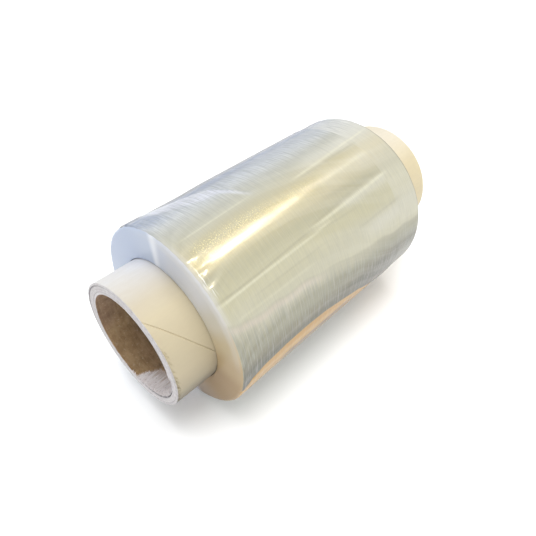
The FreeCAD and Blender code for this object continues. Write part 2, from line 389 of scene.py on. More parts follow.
def film_tint(recipe, film, place):
    """The film's colour round the roll, before its zones and lines: mostly painted light and shade by angle.
    """
    back, top, front = tuple(film.back_tint), tuple(film.top_tint), tuple(film.front_tint)
    upper_back_shade, warm, low = tuple(film.upper_back_shade_tint), tuple(film.warm_tint), tuple(film.low_tint)
    deepest_shade = blend(upper_back_shade, BLACK, 0.8)
    lit = blend(front, warm, 0.5)
    milky = (0.62, 0.61, 0.52)
    # Painted light by angle: a painted shadow where the top turns to the back, a painted cool light on top,
    # a painted warm glow beside the long highlight, and painted shade toward the free edge and below it
    stops = (
        (-75, back),
        (-48, deepest_shade),
        (-34, deepest_shade),
        (-27, blend(upper_back_shade, top, 0.12)),
        (-20, blend(upper_back_shade, top, 0.8)),
        (-13, top),
        (-7, blend(top, front, 0.2)),
        (-1, blend(blend(top, front, 0.45), low, 0.22)),
        (6, blend(blend(top, front, 0.7), low, 0.24)),
        (16, blend(lit, low, 0.26)),
        (28, blend(lit, low, 0.28)),
        (36, blend(front, low, 0.28)),
        (44, blend(front, low, 0.10)),
        (50, blend(front, low, 0.04)),
        (60, blend(front, milky, 0.5)),
        (72, blend(front, milky, 0.4)),
        (110, blend(front, low, 0.6)),
        (160, back),
    )
    wander = recipe.levels(recipe.stretched(place, (14.0, 2.2, 1.0)), 0.3, 0.7, -0.008, 0.008)
    return recipe.ramp(recipe.sum(recipe.angle(), wander), by_angle(stops), "LINEAR")


def film_zones(recipe, film, place, base):
    """A painted warm reflection on the slack film below the free edge, the grey zone above it with painted
    shade toward the bottom, and the other marked zones, most of them painted light or shade.
    """
    low = tuple(film.low_tint)
    underside = blend(low, BLACK, 0.9)
    # The slack strip just past the free edge is painted peach: a painted warm reflection
    below = recipe.ramp(recipe.parts(place)["X"], ((0.025, WHITE), (0.085, BLACK)))
    base = recipe.mix(below, base, tuple(film.slack_reflection_tint))
    grains = recipe.levels(recipe.stretched(place, (46.0, 3.0, 1.0)), 0.3, 0.7, 0.86, 1.0)
    # The grey zone darkens toward the bottom of the roll: painted shade
    grey = recipe.ramp(recipe.angle(), by_angle(((82, low), (100, underside), (150, underside))), "LINEAR")
    base = recipe.mix(recipe.product(recipe.mark("film_grey"), grains), base, grey)
    base = recipe.mix(recipe.product(recipe.mark("film_pink"), grains), base, (0.66, 0.60, 0.50))
    # Painted light and shade: a shadow along the slack strip's lower edge, a shadow in the crease, light on
    # the fold, a glow round the long highlight, the far band's paler tone with highlights before it, and a
    # highlight on the near rim
    for mark, strength, tint in (
        ("film_slack_shadow", 1.0, (0.13, 0.09, 0.06)),
        ("film_shadow_in_crease", 0.7, (0.30, 0.37, 0.54)),
        ("film_light_on_fold", 0.8, (0.76, 0.78, 0.88)),
        ("film_glow", 0.42, (0.84, 0.70, 0.34)),
        ("film_far_band_and_highlights", 1.0, (0.86, 0.85, 0.80)),
        ("film_near_rim_highlight", 0.55, (0.80, 0.79, 0.76)),
    ):
        base = recipe.mix(recipe.product(recipe.mark(mark), strength), base, tint)
    # The ridges' mark is above 0 on a ridge and below 0 in a groove: a painted highlight on the ridges,
    # painted shade in the grooves
    base = recipe.mix(recipe.levels(recipe.mark("film_ridge"), 0, 1, 0, 0.55), base, (0.86, 0.84, 0.66))
    return recipe.mix(recipe.levels(recipe.mark("film_ridge"), 0, -1, 0, 0.45), base, (0.34, 0.32, 0.24))


def film_threads(recipe, place, base, lines):
    """Soft streaks, dark lines and light threads round the roll, and a painted shadow line at the far rim's
    edge.
    """
    streaks = recipe.stretched(place, (75.0, 1.1, 1.0), detail=4.0)
    base = recipe.mix(recipe.levels(streaks, 0.42, 0.66, 0.0, 0.12), base, (0.82, 0.81, 0.72))
    marked = recipe.mark("film_lines")
    base = recipe.mix(recipe.product(lines, marked), base, (0.26, 0.28, 0.28))
    threads = recipe.stretched(place, (26.0, 360.0, 3.0), detail=4.0, roughness=0.6)
    threads = recipe.levels(threads, 0.50, 0.68, 0.0, 0.6)
    base = recipe.mix(recipe.product(threads, marked), base, (0.80, 0.82, 0.80))
    # A painted shadow line along the far rim's edge
    return recipe.mix(recipe.mark("film_far_rim_shadow"), base, (0.16, 0.13, 0.09))


def film_glints(recipe, place, base):
    """Painted glints: bright specks beside the long highlight, and small painted highlight arcs at the near
    rim.
    """
    specks = recipe.stretched(place, (400.0, 440.0, 1.0), roughness=0.7)
    specks = recipe.product(recipe.levels(specks, 0.54, 0.62), recipe.mark("film_spark"))
    base = recipe.mix(specks, base, (1.0, 0.92, 0.52))
    arcs = recipe.stretched(place, (26.0, 420.0, 7.0), detail=2.0, distortion=0.6)
    arcs = recipe.product(recipe.levels(arcs, 0.55, 0.62), recipe.mark("film_glint_arcs"))
    return recipe.mix(arcs, base, (1.0, 1.0, 0.96))


def paint_film(film):
    """Glossy, milky film whose colour carries painted light: cool on top, greenish cream in front, grey
    above the free edge with painted shade toward the bottom, and a painted warm reflection below.
    """
    recipe = Recipe(bpy.data.materials.new("wound_film"))
    place = recipe.place("UV")
    lines = recipe.stretched(place, (22.0, 330.0, 1.0), detail=4.0, roughness=0.65)
    lines = recipe.levels(lines, 0.40, 0.64)
    base = film_tint(recipe, film, place)
    base = film_zones(recipe, film, place, base)
    base = film_threads(recipe, place, base, lines)
    base = film_glints(recipe, place, base)
    # Bumps: the lines, broad waves over them, then long folds for the film and specks for its gloss
    fine = recipe.bump(lines, 0.05 * MM, 0.3)
    waved = recipe.bump(recipe.stretched(place, (30.0, 60.0, 1.0), roughness=0.6), 0.1 * MM, 0.2, fine)
    folded = recipe.bump(recipe.stretched(place, (90.0, 3.0, 1.0)), 0.2 * MM, 0.3, waved)
    speckles = recipe.stretched(place, (300.0, 300.0, 1.0), detail=2.0, roughness=0.6)
    speckles = recipe.levels(speckles, 0.52, 0.68)
    sparkle = recipe.levels(recipe.mark("film_spark"), 0, 1, 0.02, 1.0)
    return recipe.finish(
        Base_Color=base,
        Roughness=recipe.levels(lines, 0.0, 1.0, 0.30, 0.42),
        IOR=1.38,
        Specular_Tint=solid((1.0, 0.93, 0.72)),
        Coat_Weight=film.gloss,
        Coat_Roughness=0.025,
        Coat_IOR=1.5,
        Normal=folded,
        Coat_Normal=recipe.bump(speckles, 0.04 * MM, sparkle, waved),
    )


def paint_film_end():
    """The ends of the turns, pressed together: smooth, with painted light in their colour: cool and bluish
    on top and at the back, a painted warm reflection in amber below, and narrow painted highlights.
    """
    recipe = Recipe(bpy.data.materials.new("turn_ends"))
    place = recipe.place("UV")
    amber = (0.38, 0.25, 0.115)
    # By angle round the roll: painted cool light on top and at the back, a painted amber reflection below,
    # and painted highlights at 0.165 and 0.69
    base = recipe.ramp(
        recipe.parts(place)["X"],
        (
            (0.00, amber),
            (0.06, (0.34, 0.22, 0.10)),
            (0.14, (0.38, 0.29, 0.21)),
            (0.165, (0.80, 0.78, 0.90)),
            (0.20, (0.62, 0.62, 0.74)),
            (0.26, (0.48, 0.52, 0.62)),
            (0.60, (0.48, 0.56, 0.73)),
            (0.675, (0.54, 0.61, 0.75)),
            (0.69, (0.86, 0.89, 0.96)),
            (0.705, (0.62, 0.66, 0.76)),
            (0.735, (0.64, 0.66, 0.72)),
            (0.80, (0.70, 0.70, 0.72)),
            (0.85, (0.64, 0.60, 0.51)),
            (0.90, (0.58, 0.48, 0.31)),
            (0.95, (0.48, 0.35, 0.185)),
            (1.00, amber),
        ),
    )
    # A painted highlight on the near rim
    base = recipe.mix(recipe.product(recipe.mark("film_near_rim_highlight"), 0.6), base, (0.78, 0.77, 0.76))
    rings = recipe.levels(recipe.stretched(place, (1.2, 260.0, 1.0), detail=4.0), 0.35, 0.65)
    return recipe.finish(
        Base_Color=recipe.mix(recipe.product(rings, 0.02), base, (0.40, 0.38, 0.40)),
        Roughness=0.4,
        IOR=1.45,
        Coat_Weight=0.2,
        Coat_Roughness=0.2,
        Normal=recipe.bump(rings, 0.01 * MM, 0.03),
    )


def free_edge(along):
    """The angle of the film's free edge at each place along the roll."""
    return np.radians(at_place(FREE_EDGE, along))


def at_place(table, along):
    """The second measure of a table at each place along the roll."""
    places, values = np.array(table).T
    return np.interp((along - NEAR_MOUTH) / MM, places, values)


def film_profile(film):
    """Rows from the near face beside the core, over the body and the far face, back through the core's hole.
    Each is a place along the axis, a radius, a place along the surface, and 1 on an end face."""
    gap = 0.28 * MM
    rim = FILM_RADIUS - film.shoulder
    rows = [(NEAR_FACE + 1.2 * MM, CORE_RADIUS, 1), (NEAR_FACE + 0.9 * MM, CORE_RADIUS + gap, 1)]
    for part in np.linspace(0, 1, 25):
        radius = CORE_RADIUS + gap + (rim - CORE_RADIUS - gap) * part
        ring = 0.002 * MM * np.sin(np.pi * 6 * part) ** 2
        rows.append((NEAR_FACE + film.near_dome * part**1.4 + ring, radius, 1))
    for part in np.linspace(0, 1, 10)[1:]:
        angle = part * np.pi / 2
        across = NEAR_FACE + film.near_dome + film.shoulder * (1 - np.cos(angle))
        rows.append((across, rim + film.shoulder * np.sin(angle), 1 if part < 0.45 else 0))
    start = NEAR_FACE + film.near_dome + film.shoulder
    border = FAR_FACE - film.far_dome - film.border_width
    for across in np.concatenate(
        (
            np.arange(start + 0.45 * MM, start + 9 * MM, 0.5 * MM),
            np.arange(start + 9.3 * MM, border - 0.6 * MM, 0.97 * MM),
            (border - 0.25 * MM, border - 0.08 * MM),
        )
    ):
        rows.append((across, FILM_RADIUS, 0))
    band = FILM_RADIUS - film.border_step
    stop = FAR_FACE - film.far_dome - film.shoulder
    near_border = (border + 0.06 * MM, border + 0.25 * MM)
    for across in np.concatenate((near_border, np.arange(border + 0.9 * MM, stop, 0.6 * MM))):
        rows.append((across, band, 0))
    for part in np.linspace(0, 1, 8):
        angle = part * np.pi / 2
        across = stop + film.shoulder * np.sin(angle)
        rows.append((across, band - film.shoulder * (1 - np.cos(angle)), 0 if part < 0.6 else 1))
    for part in np.linspace(1, 0, 14)[1:]:
        inner = CORE_RADIUS + gap
        radius = inner + (band - film.shoulder - inner) * part
        ring = 0.05 * MM * (1 - abs(np.cos(np.pi * 5 * part)))
        rows.append((FAR_FACE - film.far_dome * part**1.4 - ring, radius, 1))
    rows.append((FAR_FACE - 0.9 * MM, CORE_RADIUS + gap, 1))
    rows.append((FAR_FACE - 1.2 * MM, CORE_RADIUS, 1))
    rows.append(((NEAR_FACE + FAR_FACE) / 2, CORE_RADIUS, 1))
    across, radius, end = (np.array(values, float) for values in zip(*rows))
    run = np.concatenate(([0], np.cumsum(np.hypot(np.diff(across), np.diff(radius)))))
    return across[:, None], radius[:, None], run[:, None] / run[-1], end[:, None].astype(int)


def film_places(film, across, around, past_edge, radius):
    """Where the film's points lie, in the measures that its zones are given in: degrees and millimetres."""
    at = SimpleNamespace(across=across, around=around, radius=radius)
    at.degrees = np.degrees((around + np.pi) % FULL_TURN - np.pi)
    at.from_mouth = (across - NEAR_MOUTH) / MM
    at.from_rim = (across - NEAR_FACE) / MM
    at.from_far = (FAR_FACE - across) / MM
    at.to_band = (FAR_FACE - film.far_dome - film.border_width - across) / MM
    at.on_band = smooth(0.2, -0.4, at.to_band)
    at.before_band = smooth(-0.4, 0.2, at.to_band)
    at.on_body = smooth(0.5, 1.5, at.from_rim)
    at.above_edge = past_edge > np.pi
    wander = 0.5 * waves(15, around * 0, across, 8, (1, 1), (20, 90))
    at.below_border = at.degrees - at_place(GREY_BORDER, across) + wander
    return at


def front_marks(at):
    """The grey zone, which darkens from its border down to the free edge and further toward the bottom as
    painted shade, and the zones beside it.
    """
    below, degrees, from_mouth = at.below_border, at.degrees, at.from_mouth
    grey = 0.16 * smooth(-0.8, 1.0, below) + 0.22 * smooth(4.0, 12.0, below)
    # Darker toward the bottom of the roll: painted shade
    grey = grey + 0.36 * smooth(64, 84, degrees) + 0.40 * smooth(82, 93, degrees)
    grey = np.clip(grey, 0, 1) * at.above_edge * smooth(-1.5, 0.5, below)
    grey = grey * (1 - 0.14 * smooth(0.5, -0.5, at.to_band))
    pink = hump(3.0, 3.6, below) * smooth(62, 48, from_mouth)
    # A painted shadow along the lower edge of the slack strip
    under = 0.9 * hump(107.0, 5.5, degrees) * smooth(33, 40, from_mouth) * smooth(80, 66, from_mouth)
    return {
        "film_grey": grey * at.on_body,
        "film_pink": np.clip(pink, 0, 1) * at.on_body * at.above_edge,
        "film_slack_shadow": under * ~at.above_edge,
    }


def fold_marks(at):
    """The fold on the upper back: painted light below its top line, a bluish painted shadow in the crease
    beside the near rim, and the recess behind it, which is only hollowed.
    """
    degrees, from_mouth = at.degrees, at.from_mouth
    off = degrees - at_place(FOLD_LINE, at.across)
    started = smooth(22, 26, from_mouth)
    inside = smooth(56, 46, from_mouth) * (degrees > -90)
    recess = smooth(0.5, -1.5, off) * smooth(-60, -45, degrees) * smooth(54, 40, from_mouth) * (degrees < 60)
    reach = np.interp(from_mouth, (22, 40, 46, 54), (15, 15, 9, 3))
    # A bluish painted shadow in the crease beside the near rim, and along the fold's top line
    crease = hump(-20, 16, degrees) * smooth(27.5, 22.5, from_mouth - 0.10 * (degrees + 20))
    crease = np.maximum(crease, 0.7 * hump(-0.8, 1.3, off) * inside * started)
    return {
        "film_recess": recess * at.on_body,
        "film_light_on_fold": smooth(-0.4, 1.2, off) * smooth(reach, reach - 4, off) * inside * started,
        "film_shadow_in_crease": crease * smooth(0.4, 1.6, at.from_rim),
    }


def highlight_marks(at):
    """Painted light along the long highlight: its glow and glinting specks, and a painted highlight on the
    near rim with small painted glint arcs.
    """
    degrees, from_mouth, from_rim = at.degrees, at.from_mouth, at.from_rim
    middle = np.interp(from_mouth, (20, 36, 57, 80), (25.5, 24.5, 21.5, 19.5))
    # A painted glow round the long highlight
    glow = np.exp(-(((degrees - middle) / 4.2) ** 2)) * (0.2 + 0.8 * smooth(78, 52, from_mouth))
    # Painted glinting specks beside the highlight; the same mark also roughens the gloss there
    spark = hump(18.0, 6.5, degrees) * smooth(60, 44, from_mouth) * smooth(19, 24, from_mouth)
    spark = np.maximum(spark, 0.35 * hump(middle - 1, 7, degrees) * smooth(100, 60, from_mouth))
    # A painted highlight on the near rim
    rim = smooth(31.0 * MM, 33.0 * MM, at.radius) * smooth(3.0, 1.0, from_rim) * hump(36, 62, degrees)
    return {
        "film_glow": glow * at.on_body,
        "film_spark": spark * at.on_body,
        "film_near_rim_highlight": rim * (1 - 0.8 * smooth(-2.0, 1.0, at.below_border) * smooth(0.3, 0.9, from_rim)),
        "film_glint_arcs": hump(2.4, 2.4, from_rim) * hump(33, 13, degrees),
    }


def far_marks(at):
    """The paler band at the far rim, painted highlights at the ends of the ridges before it, and a painted
    shadow line at the rim's edge.
    """
    degrees, from_mouth = at.degrees, at.from_mouth
    band = 0.24 * smooth(80, 60, degrees) + 0.34 * hump(-6, 28, degrees) + 0.10 * hump(-12, 10, degrees)
    band = band * at.on_band * smooth(-36, -25, degrees)
    # Painted highlights at the ends of the ridges before the band
    bright = 0.34 * hump(7, 9, degrees) + 0.18 * hump(24, 10, degrees) + 0.30 * hump(41, 5, degrees)
    before = (
        0.30 * hump(62, 9, degrees) * smooth(76, 92, from_mouth)
        + 0.12 * hump(20, 40, degrees) * smooth(88, 101, from_mouth)
        + bright * smooth(70, 82, from_mouth)
    )
    return {
        "film_far_band_and_highlights": band + before * at.before_band,
        # A painted shadow line along the far rim's edge
        "film_far_rim_shadow": smooth(1.5, 1.2, at.from_far) * smooth(48, 36, np.abs(degrees - 30)),
    }


def line_marks(at):
    """Where the fine lines show, and the long ridges, above 0 on a ridge and below 0 in a groove. The
    ridges' colour is a painted highlight, the grooves' painted shade.
    """
    degrees, from_mouth = at.degrees, at.from_mouth
    lines = 0.14 + 0.42 * hump(-14, 24, degrees) + 0.20 * smooth(0.0, 8.0, at.below_border) * at.above_edge
    ridge = np.zeros(degrees.shape)
    for first, last, start, stop, half, height in RIDGES:
        part = smooth(first - 4, first + 4, from_mouth) * smooth(last + 4, last - 4, from_mouth)
        middle = np.interp(from_mouth, (first, last), (start, stop))
        sway = 0.3 * waves(int(16 + start), at.around * 0, at.across, 5, (1, 1), (4, 24))
        ridge = ridge + height * part * hump(0, half, degrees - middle - sway)
    ridge = ridge + 0.4 * hump(57.5, 1.3, degrees) * smooth(60, 50, from_mouth) * smooth(19, 24, from_mouth)
    return {"film_lines": lines, "film_ridge": ridge * at.on_body}


def film_hollows(film, across, around, past_edge, marks):
    """How far each point of the film lies inside its full radius, in metres. It is never outside it."""
    degrees = np.degrees((around + np.pi) % FULL_TURN - np.pi)
    from_rim = (across - NEAR_FACE) / MM
    depth = film.wrinkle_depth
    long_folds = waves(11, around, across, 16, (7, 34), (-3.0, 3.0))
    fine_folds = waves(12, around, across, 14, (30, 90), (-6.0, 6.0))
    calm = 1 - 0.7 * smooth(48, 62, degrees) * smooth(150, 110, degrees)
    hollow = depth * calm * (0.9 + 0.30 * long_folds + 0.14 * fine_folds)
    # Puckers where the turns are drawn in at the near rim
    puckers = waves(13, around, across, 12, (24, 64), (20.0, 60.0))
    drawn = smooth(9, 2.0, from_rim) * (0.3 + 0.7 * hump(34, 16, degrees))
    hollow = hollow + 0.16 * MM * drawn * (1 + puckers)
    # A fold that runs slantwise over the upper back, with a hollow behind it, and small slanting wrinkles
    hollow = hollow + 0.30 * MM * marks["film_recess"]
    slant = waves(14, around, across, 10, (14, 34), (24.0, 60.0))
    hollow = hollow + 0.06 * MM * (1 + slant) * hump(-25, 40, degrees) * smooth(52, 12, from_rim)
    hollow = hollow - 0.05 * MM * marks["film_ridge"]
    # The slack below the free edge, deeper where the edge gapes at the near rim
    slack = np.clip(1 - past_edge / film.edge_slack, 0, 1)
    tight = smooth(0, 14, from_rim) + (1 - smooth(0, 14, from_rim)) * smooth(0.05, 0.0, past_edge)
    hollow = hollow + film.edge_step * slack * tight
    return np.maximum(hollow, 0.01 * MM)


class WRAP_OT_film(bpy.types.Operator):
    """Build the wound film with its free edge, wrinkles, border band and end faces"""

    bl_idname = "wrap_roll.film"
    bl_label = "Wound Film"

    def execute(self, context):
        film = context.scene.wrap_film
        across, radius, run, end = film_profile(film)
        edge = free_edge(across)
        turned = np.linspace(0, 1, FILM_COLUMNS)[None, :]
        past_edge = FULL_TURN * turned
        around = edge + past_edge
        at = film_places(film, across, around, past_edge, radius)
        marks = {}
        for find in (front_marks, fold_marks, highlight_marks, far_marks, line_marks):
            marks.update(find(at))
        hollow = film_hollows(film, across, around, past_edge, marks)
        # Nothing is hollow beside the core, and everything is in full at the outer radius
        weight = np.clip((radius - CORE_RADIUS - 1 * MM) / (FILM_RADIUS - CORE_RADIUS - 1 * MM), 0, 1)
        skin = radius - hollow * weight
        # The free edge: its thickness, and a dark gap that runs in under it
        gap = np.radians(1.1 + 2.2 * smooth(12, 2, (across - NEAR_FACE) / MM))
        lip = skin[:, -1:] - EDGE_THICKNESS * weight
        roof = lip - 0.06 * MM * weight
        under = skin[:, :1]
        floor = under - EDGE_GAP * weight
        around = np.concatenate((around, edge, edge - gap, edge - gap, edge - gap * 0.4), axis=1)
        skin = np.concatenate((skin, lip, roof, floor, under), axis=1)
        points = on_roll(across, around, skin)
        points[..., 2] = np.maximum(points[..., 2], 0.0)
        way_round = np.concatenate((turned, np.full((1, 4), 0.999)), axis=1)
        # The four points at the edge carry on the marks above it and below it
        beside = [-1, -1, 0, 0]
        for mark, shares in marks.items():
            marks[mark] = np.concatenate((shares, shares[:, beside]), axis=1)
        piece = woven_piece(
            "film_wrap",
            points,
            np.broadcast_to(way_round, skin.shape),
            np.broadcast_to(run, skin.shape),
            [paint_film(film), paint_film_end()],
            end,
            marks,
        )
        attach(piece, "root")
        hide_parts("film_roll")
        return {"FINISHED"}


def paint_outer_ply(core):
    """Smooth pale paper with faint fibres and a few blots, with painted light: painted shade on its lower
    side, a painted cool light on the upper back of the near end, and a painted warm light at the far end,
    paler on top.
    """
    recipe = Recipe(bpy.data.materials.new("outer_ply"))
    place = recipe.place("Object")
    parts = recipe.parts(place)
    height = recipe.levels(parts["Z"], AXIS_HEIGHT - CORE_RADIUS, AXIS_HEIGHT + CORE_RADIUS)
    tint, shade = tuple(core.outer_tint), tuple(core.shade_tint)
    # Painted shade on the lower side: darker toward the bottom
    base = recipe.ramp(
        height,
        (
            (0.30, shade),
            (0.36, blend(shade, tint, 0.18)),
            (0.45, blend(shade, tint, 0.52)),
            (0.60, blend(shade, tint, 0.80)),
            (0.80, blend(shade, tint, 0.92)),
            (0.93, blend(shade, tint, 0.96)),
            (1.00, blend(tint, (0.62, 0.56, 0.46), 0.8)),
        ),
        "LINEAR",
    )
    # A painted cool light on the upper back of the near end, with a bluish painted reflection beside the
    # film
    back = recipe.levels(parts["Y"], -0.30 * CORE_RADIUS, 0.35 * CORE_RADIUS)
    near = recipe.levels(parts["X"], 0.0, NEAR_FACE)
    beside_film = recipe.levels(parts["X"], NEAR_MOUTH + 5 * MM, NEAR_FACE)
    pale = recipe.mix(beside_film, (0.81, 0.81, 0.83), (0.76, 0.79, 0.89))
    base = recipe.mix(recipe.product(recipe.product(back, near), 0.9), base, pale)
    # A painted warm light at the far end, paler on top
    far = recipe.levels(parts["X"], FAR_FACE - 5 * MM, FAR_FACE, 0.0, 0.6)
    peach = recipe.mix(recipe.levels(height, 0.86, 1.0), (0.90, 0.78, 0.50), (0.94, 0.88, 0.74))
    base = recipe.mix(far, base, peach)
    fibres = recipe.stretched(place, (220.0, 900.0, 900.0), detail=5.0, roughness=0.65)
    fibres = recipe.levels(fibres, 0.35, 0.65)
    base = recipe.mix(recipe.product(fibres, 0.12), base, (0.52, 0.44, 0.32))
    blots = recipe.levels(recipe.stretched(place, (60.0, 60.0, 60.0)), 0.4, 0.7, 0.0, 0.18)
    base = recipe.mix(blots, base, (0.66, 0.56, 0.40))
    return recipe.finish(
        Base_Color=base,
        Roughness=0.62,
        Sheen_Weight=0.1,
        Normal=recipe.bump(fibres, 0.03 * MM, 0.6),
    )


def paint_cut_edge(core):
    """The sawn ends of the plies, pale and a little furry."""
    recipe = Recipe(bpy.data.materials.new("cut_edge"))
    tint = tuple(core.cut_tint)
    grain = recipe.stretched(recipe.place("Object"), (500.0, 700.0, 700.0), detail=5.0, roughness=0.7)
    grain = recipe.levels(grain, 0.3, 0.7)
    dark = blend(tint, (0.30, 0.26, 0.24), 0.2)
    light = blend(tint, (0.85, 0.83, 0.84), 0.5)
    # Dark lines between the plies, and painted shade in the groove beside the torn place and in the split
    # where the plies fray
    base = recipe.mix(recipe.mark("ply_joints_and_shade"), recipe.mix(grain, dark, light), (0.11, 0.10, 0.11))
    return recipe.finish(Base_Color=base, Roughness=0.85, Normal=recipe.bump(grain, 0.08 * MM, 0.7))


def paint_bore(core):
    """Brown kraft paper, mottled and flecked, with painted light: golden on the lower wall by the near mouth
    where light reaches in, and painted shade deeper inside and higher up.
    """
    recipe = Recipe(bpy.data.materials.new("bore_kraft"))
    place = recipe.place("Object")
    parts = recipe.parts(place)
    uneven = recipe.stretched(place, (90.0, 90.0, 90.0), detail=2.0)
    uneven = recipe.levels(uneven, 0.3, 0.7, -6 * MM, 6 * MM)
    # Painted light on the lower wall by the near mouth; deeper in and higher up the paper is painted into
    # shade
    shallow = recipe.levels(recipe.sum(parts["X"], uneven), NEAR_MOUTH + 30 * MM, NEAR_MOUTH + 6 * MM)
    low = recipe.levels(recipe.sum(parts["Z"], uneven), AXIS_HEIGHT + 13 * MM, AXIS_HEIGHT - 8 * MM)
    paper = recipe.mix(recipe.product(shallow, low), tuple(core.kraft_tint), tuple(core.gold_tint))
    mottle = recipe.stretched(place, (300.0, 260.0, 260.0), detail=5.0, roughness=0.7)
    mottle = recipe.levels(mottle, 0.35, 0.68)
    dark = recipe.mix(0.45, paper, (0.10, 0.055, 0.04))
    light = recipe.mix(0.36, paper, (0.60, 0.44, 0.30))
    base = recipe.mix(mottle, dark, light)
    wound = recipe.levels(recipe.stretched(place, (1500.0, 130.0, 130.0)), 0.45, 0.65, 0.0, 0.22)
    base = recipe.mix(wound, base, (0.62, 0.47, 0.29))
    flecks = recipe.levels(recipe.stretched(place, (1300.0, 1300.0, 1300.0)), 0.60, 0.70, 0.0, 0.35)
    base = recipe.mix(flecks, base, (0.74, 0.62, 0.44))
    return recipe.finish(Base_Color=base, Roughness=0.8, Normal=recipe.bump(mottle, 0.1 * MM, 0.5))


def paint_torn(core):
    """Bare torn paper, white with fibres that run along the core, brown strands where it ends, and a faint
    painted glow.
    """
    recipe = Recipe(bpy.data.materials.new("torn_paper"))
    place = recipe.place("Object")
    tint = tuple(core.torn_tint)
    strands = recipe.stretched(place, (260.0, 1500.0, 1500.0), detail=5.0, roughness=0.7)
    strands = recipe.levels(strands, 0.32, 0.66)
    dark = blend(tint, (0.34, 0.26, 0.24), 0.35)
    light = blend(tint, (0.97, 0.95, 0.97), 0.6)
    base = recipe.mix(strands, dark, light)
    specks = recipe.levels(recipe.stretched(place, (900.0, 1500.0, 1500.0)), 0.60, 0.68, 0.0, 0.55)
    base = recipe.mix(specks, base, (0.30, 0.22, 0.22))
    uneven = recipe.stretched(place, (60.0, 900.0, 900.0), detail=4.0, roughness=0.7)
    uneven = recipe.levels(uneven, 0.35, 0.65, -3.2 * MM, 2.2 * MM)
    along = recipe.sum(recipe.parts(place)["X"], uneven)
    brown = recipe.levels(along, NEAR_MOUTH + 4.2 * MM, NEAR_MOUTH + 6.8 * MM, 0.0, 0.75)
    return recipe.finish(
        Base_Color=recipe.mix(brown, base, (0.40, 0.28, 0.20)),
        Roughness=0.9,
        # A faint painted glow that stands in for light in the mouth; the loose fibres share it
        Emission_Color=solid((1.0, 0.95, 0.97)),
        Emission_Strength=0.10,
        Normal=recipe.bump(strands, 0.2 * MM, 0.5),
    )


def core_rows(core):
    """Rows from the near rim's outer corner along the outside, over the far rim and back through the bore.
    Each is a place along the axis, a radius, and its surface."""
    bore = core.bore_radius
    wall = CORE_RADIUS - bore
    rows = [(NEAR_MOUTH + 0.32 * MM, CORE_RADIUS, OUTSIDE)]
    outside = np.concatenate(
        (
            np.arange(NEAR_MOUTH + 0.8 * MM, NEAR_FACE + 3 * MM, 0.7 * MM),
            np.linspace(NEAR_FACE + 10 * MM, FAR_FACE - 6 * MM, 8),
            np.arange(FAR_FACE - 2 * MM, FAR_MOUTH - 0.5 * MM, 0.8 * MM),
        )
    )
    rows += [(across, CORE_RADIUS, OUTSIDE) for across in outside]
    rows.append((FAR_MOUTH - 0.15 * MM, CORE_RADIUS, OUTSIDE))
    rows += [(FAR_MOUTH, CORE_RADIUS - wall * part, CUT_END) for part in np.linspace(0.02, 0.98, 15)]
    rows.append((FAR_MOUTH - 0.15 * MM, bore, BORE))
    inside = np.concatenate(
        (
            np.arange(FAR_MOUTH - 1 * MM, FAR_MOUTH - 14 * MM, -1.0 * MM),
            np.linspace(FAR_MOUTH - 16 * MM, NEAR_MOUTH + 16 * MM, 30),
            np.arange(NEAR_MOUTH + 14 * MM, NEAR_MOUTH + 10 * MM, -1.0 * MM),
            np.arange(NEAR_MOUTH + 9.6 * MM, NEAR_MOUTH + 0.5 * MM, -0.4 * MM),
        )
    )
    rows += [(across, bore, BORE) for across in inside]
    rows.append((NEAR_MOUTH + 0.3 * MM, bore, BORE))
    for part in np.linspace(0.98, 0.02, 30):
        rows.append((NEAR_MOUTH + 0.12 * MM, CORE_RADIUS - wall * part, CUT_END))
    across, radius, zone = (np.array(values, float) for values in zip(*rows))
    return across[:, None], radius[:, None], zone[:, None].astype(int)


def core_places(core, across, zone):
    """Where the core's points lie. Each column of them follows the seam's helix at both ends, and turns back
    one turn under the film, so that the long faces there hardly twist."""
    beside_seam = np.radians((0.25, 0.55, 0.9, 1.5))
    even = np.linspace(0, FULL_TURN, CORE_COLUMNS, endpoint=False)[4:-3]
    columns = np.concatenate(((0,), beside_seam, even, FULL_TURN - beside_seam[::-1]))[None, :]
    helix = core.seam_angle + FULL_TURN * (across - NEAR_MOUTH) / core.seam_lead
    covered = np.clip((across - NEAR_FACE - 2.5 * MM) / (FAR_FACE - NEAR_FACE - 4.5 * MM), 0, 1)
    at = SimpleNamespace(across=across, columns=columns, helix=helix)
    at.around = columns + helix - FULL_TURN * covered
    at.from_mouth = (across - NEAR_MOUTH) / MM
    at.degrees = np.degrees(at.around % FULL_TURN)
    at.turned = (at.degrees + 180) % 360 - 180
    at.outside = zone == OUTSIDE
    at.ends = zone == CUT_END
    at.inside = zone == BORE
    at.near = across < 0
    # How far into the bore the inner ply is off, in millimetres, and below 0 where it is whole
    border_angle, border_depth = np.array(TORN_BORDER).T
    reach = np.interp(at.degrees, border_angle, border_depth, left=-1, right=-1)
    ragged = waves(23, at.around, across * 0, 14, (40, 170), (0, 0))
    at.reach = reach + 0.45 * ragged * (reach > 0.4)
    at.torn = smooth(0.25, -0.25, at.from_mouth - at.reach) * (at.reach > 0)
    return at


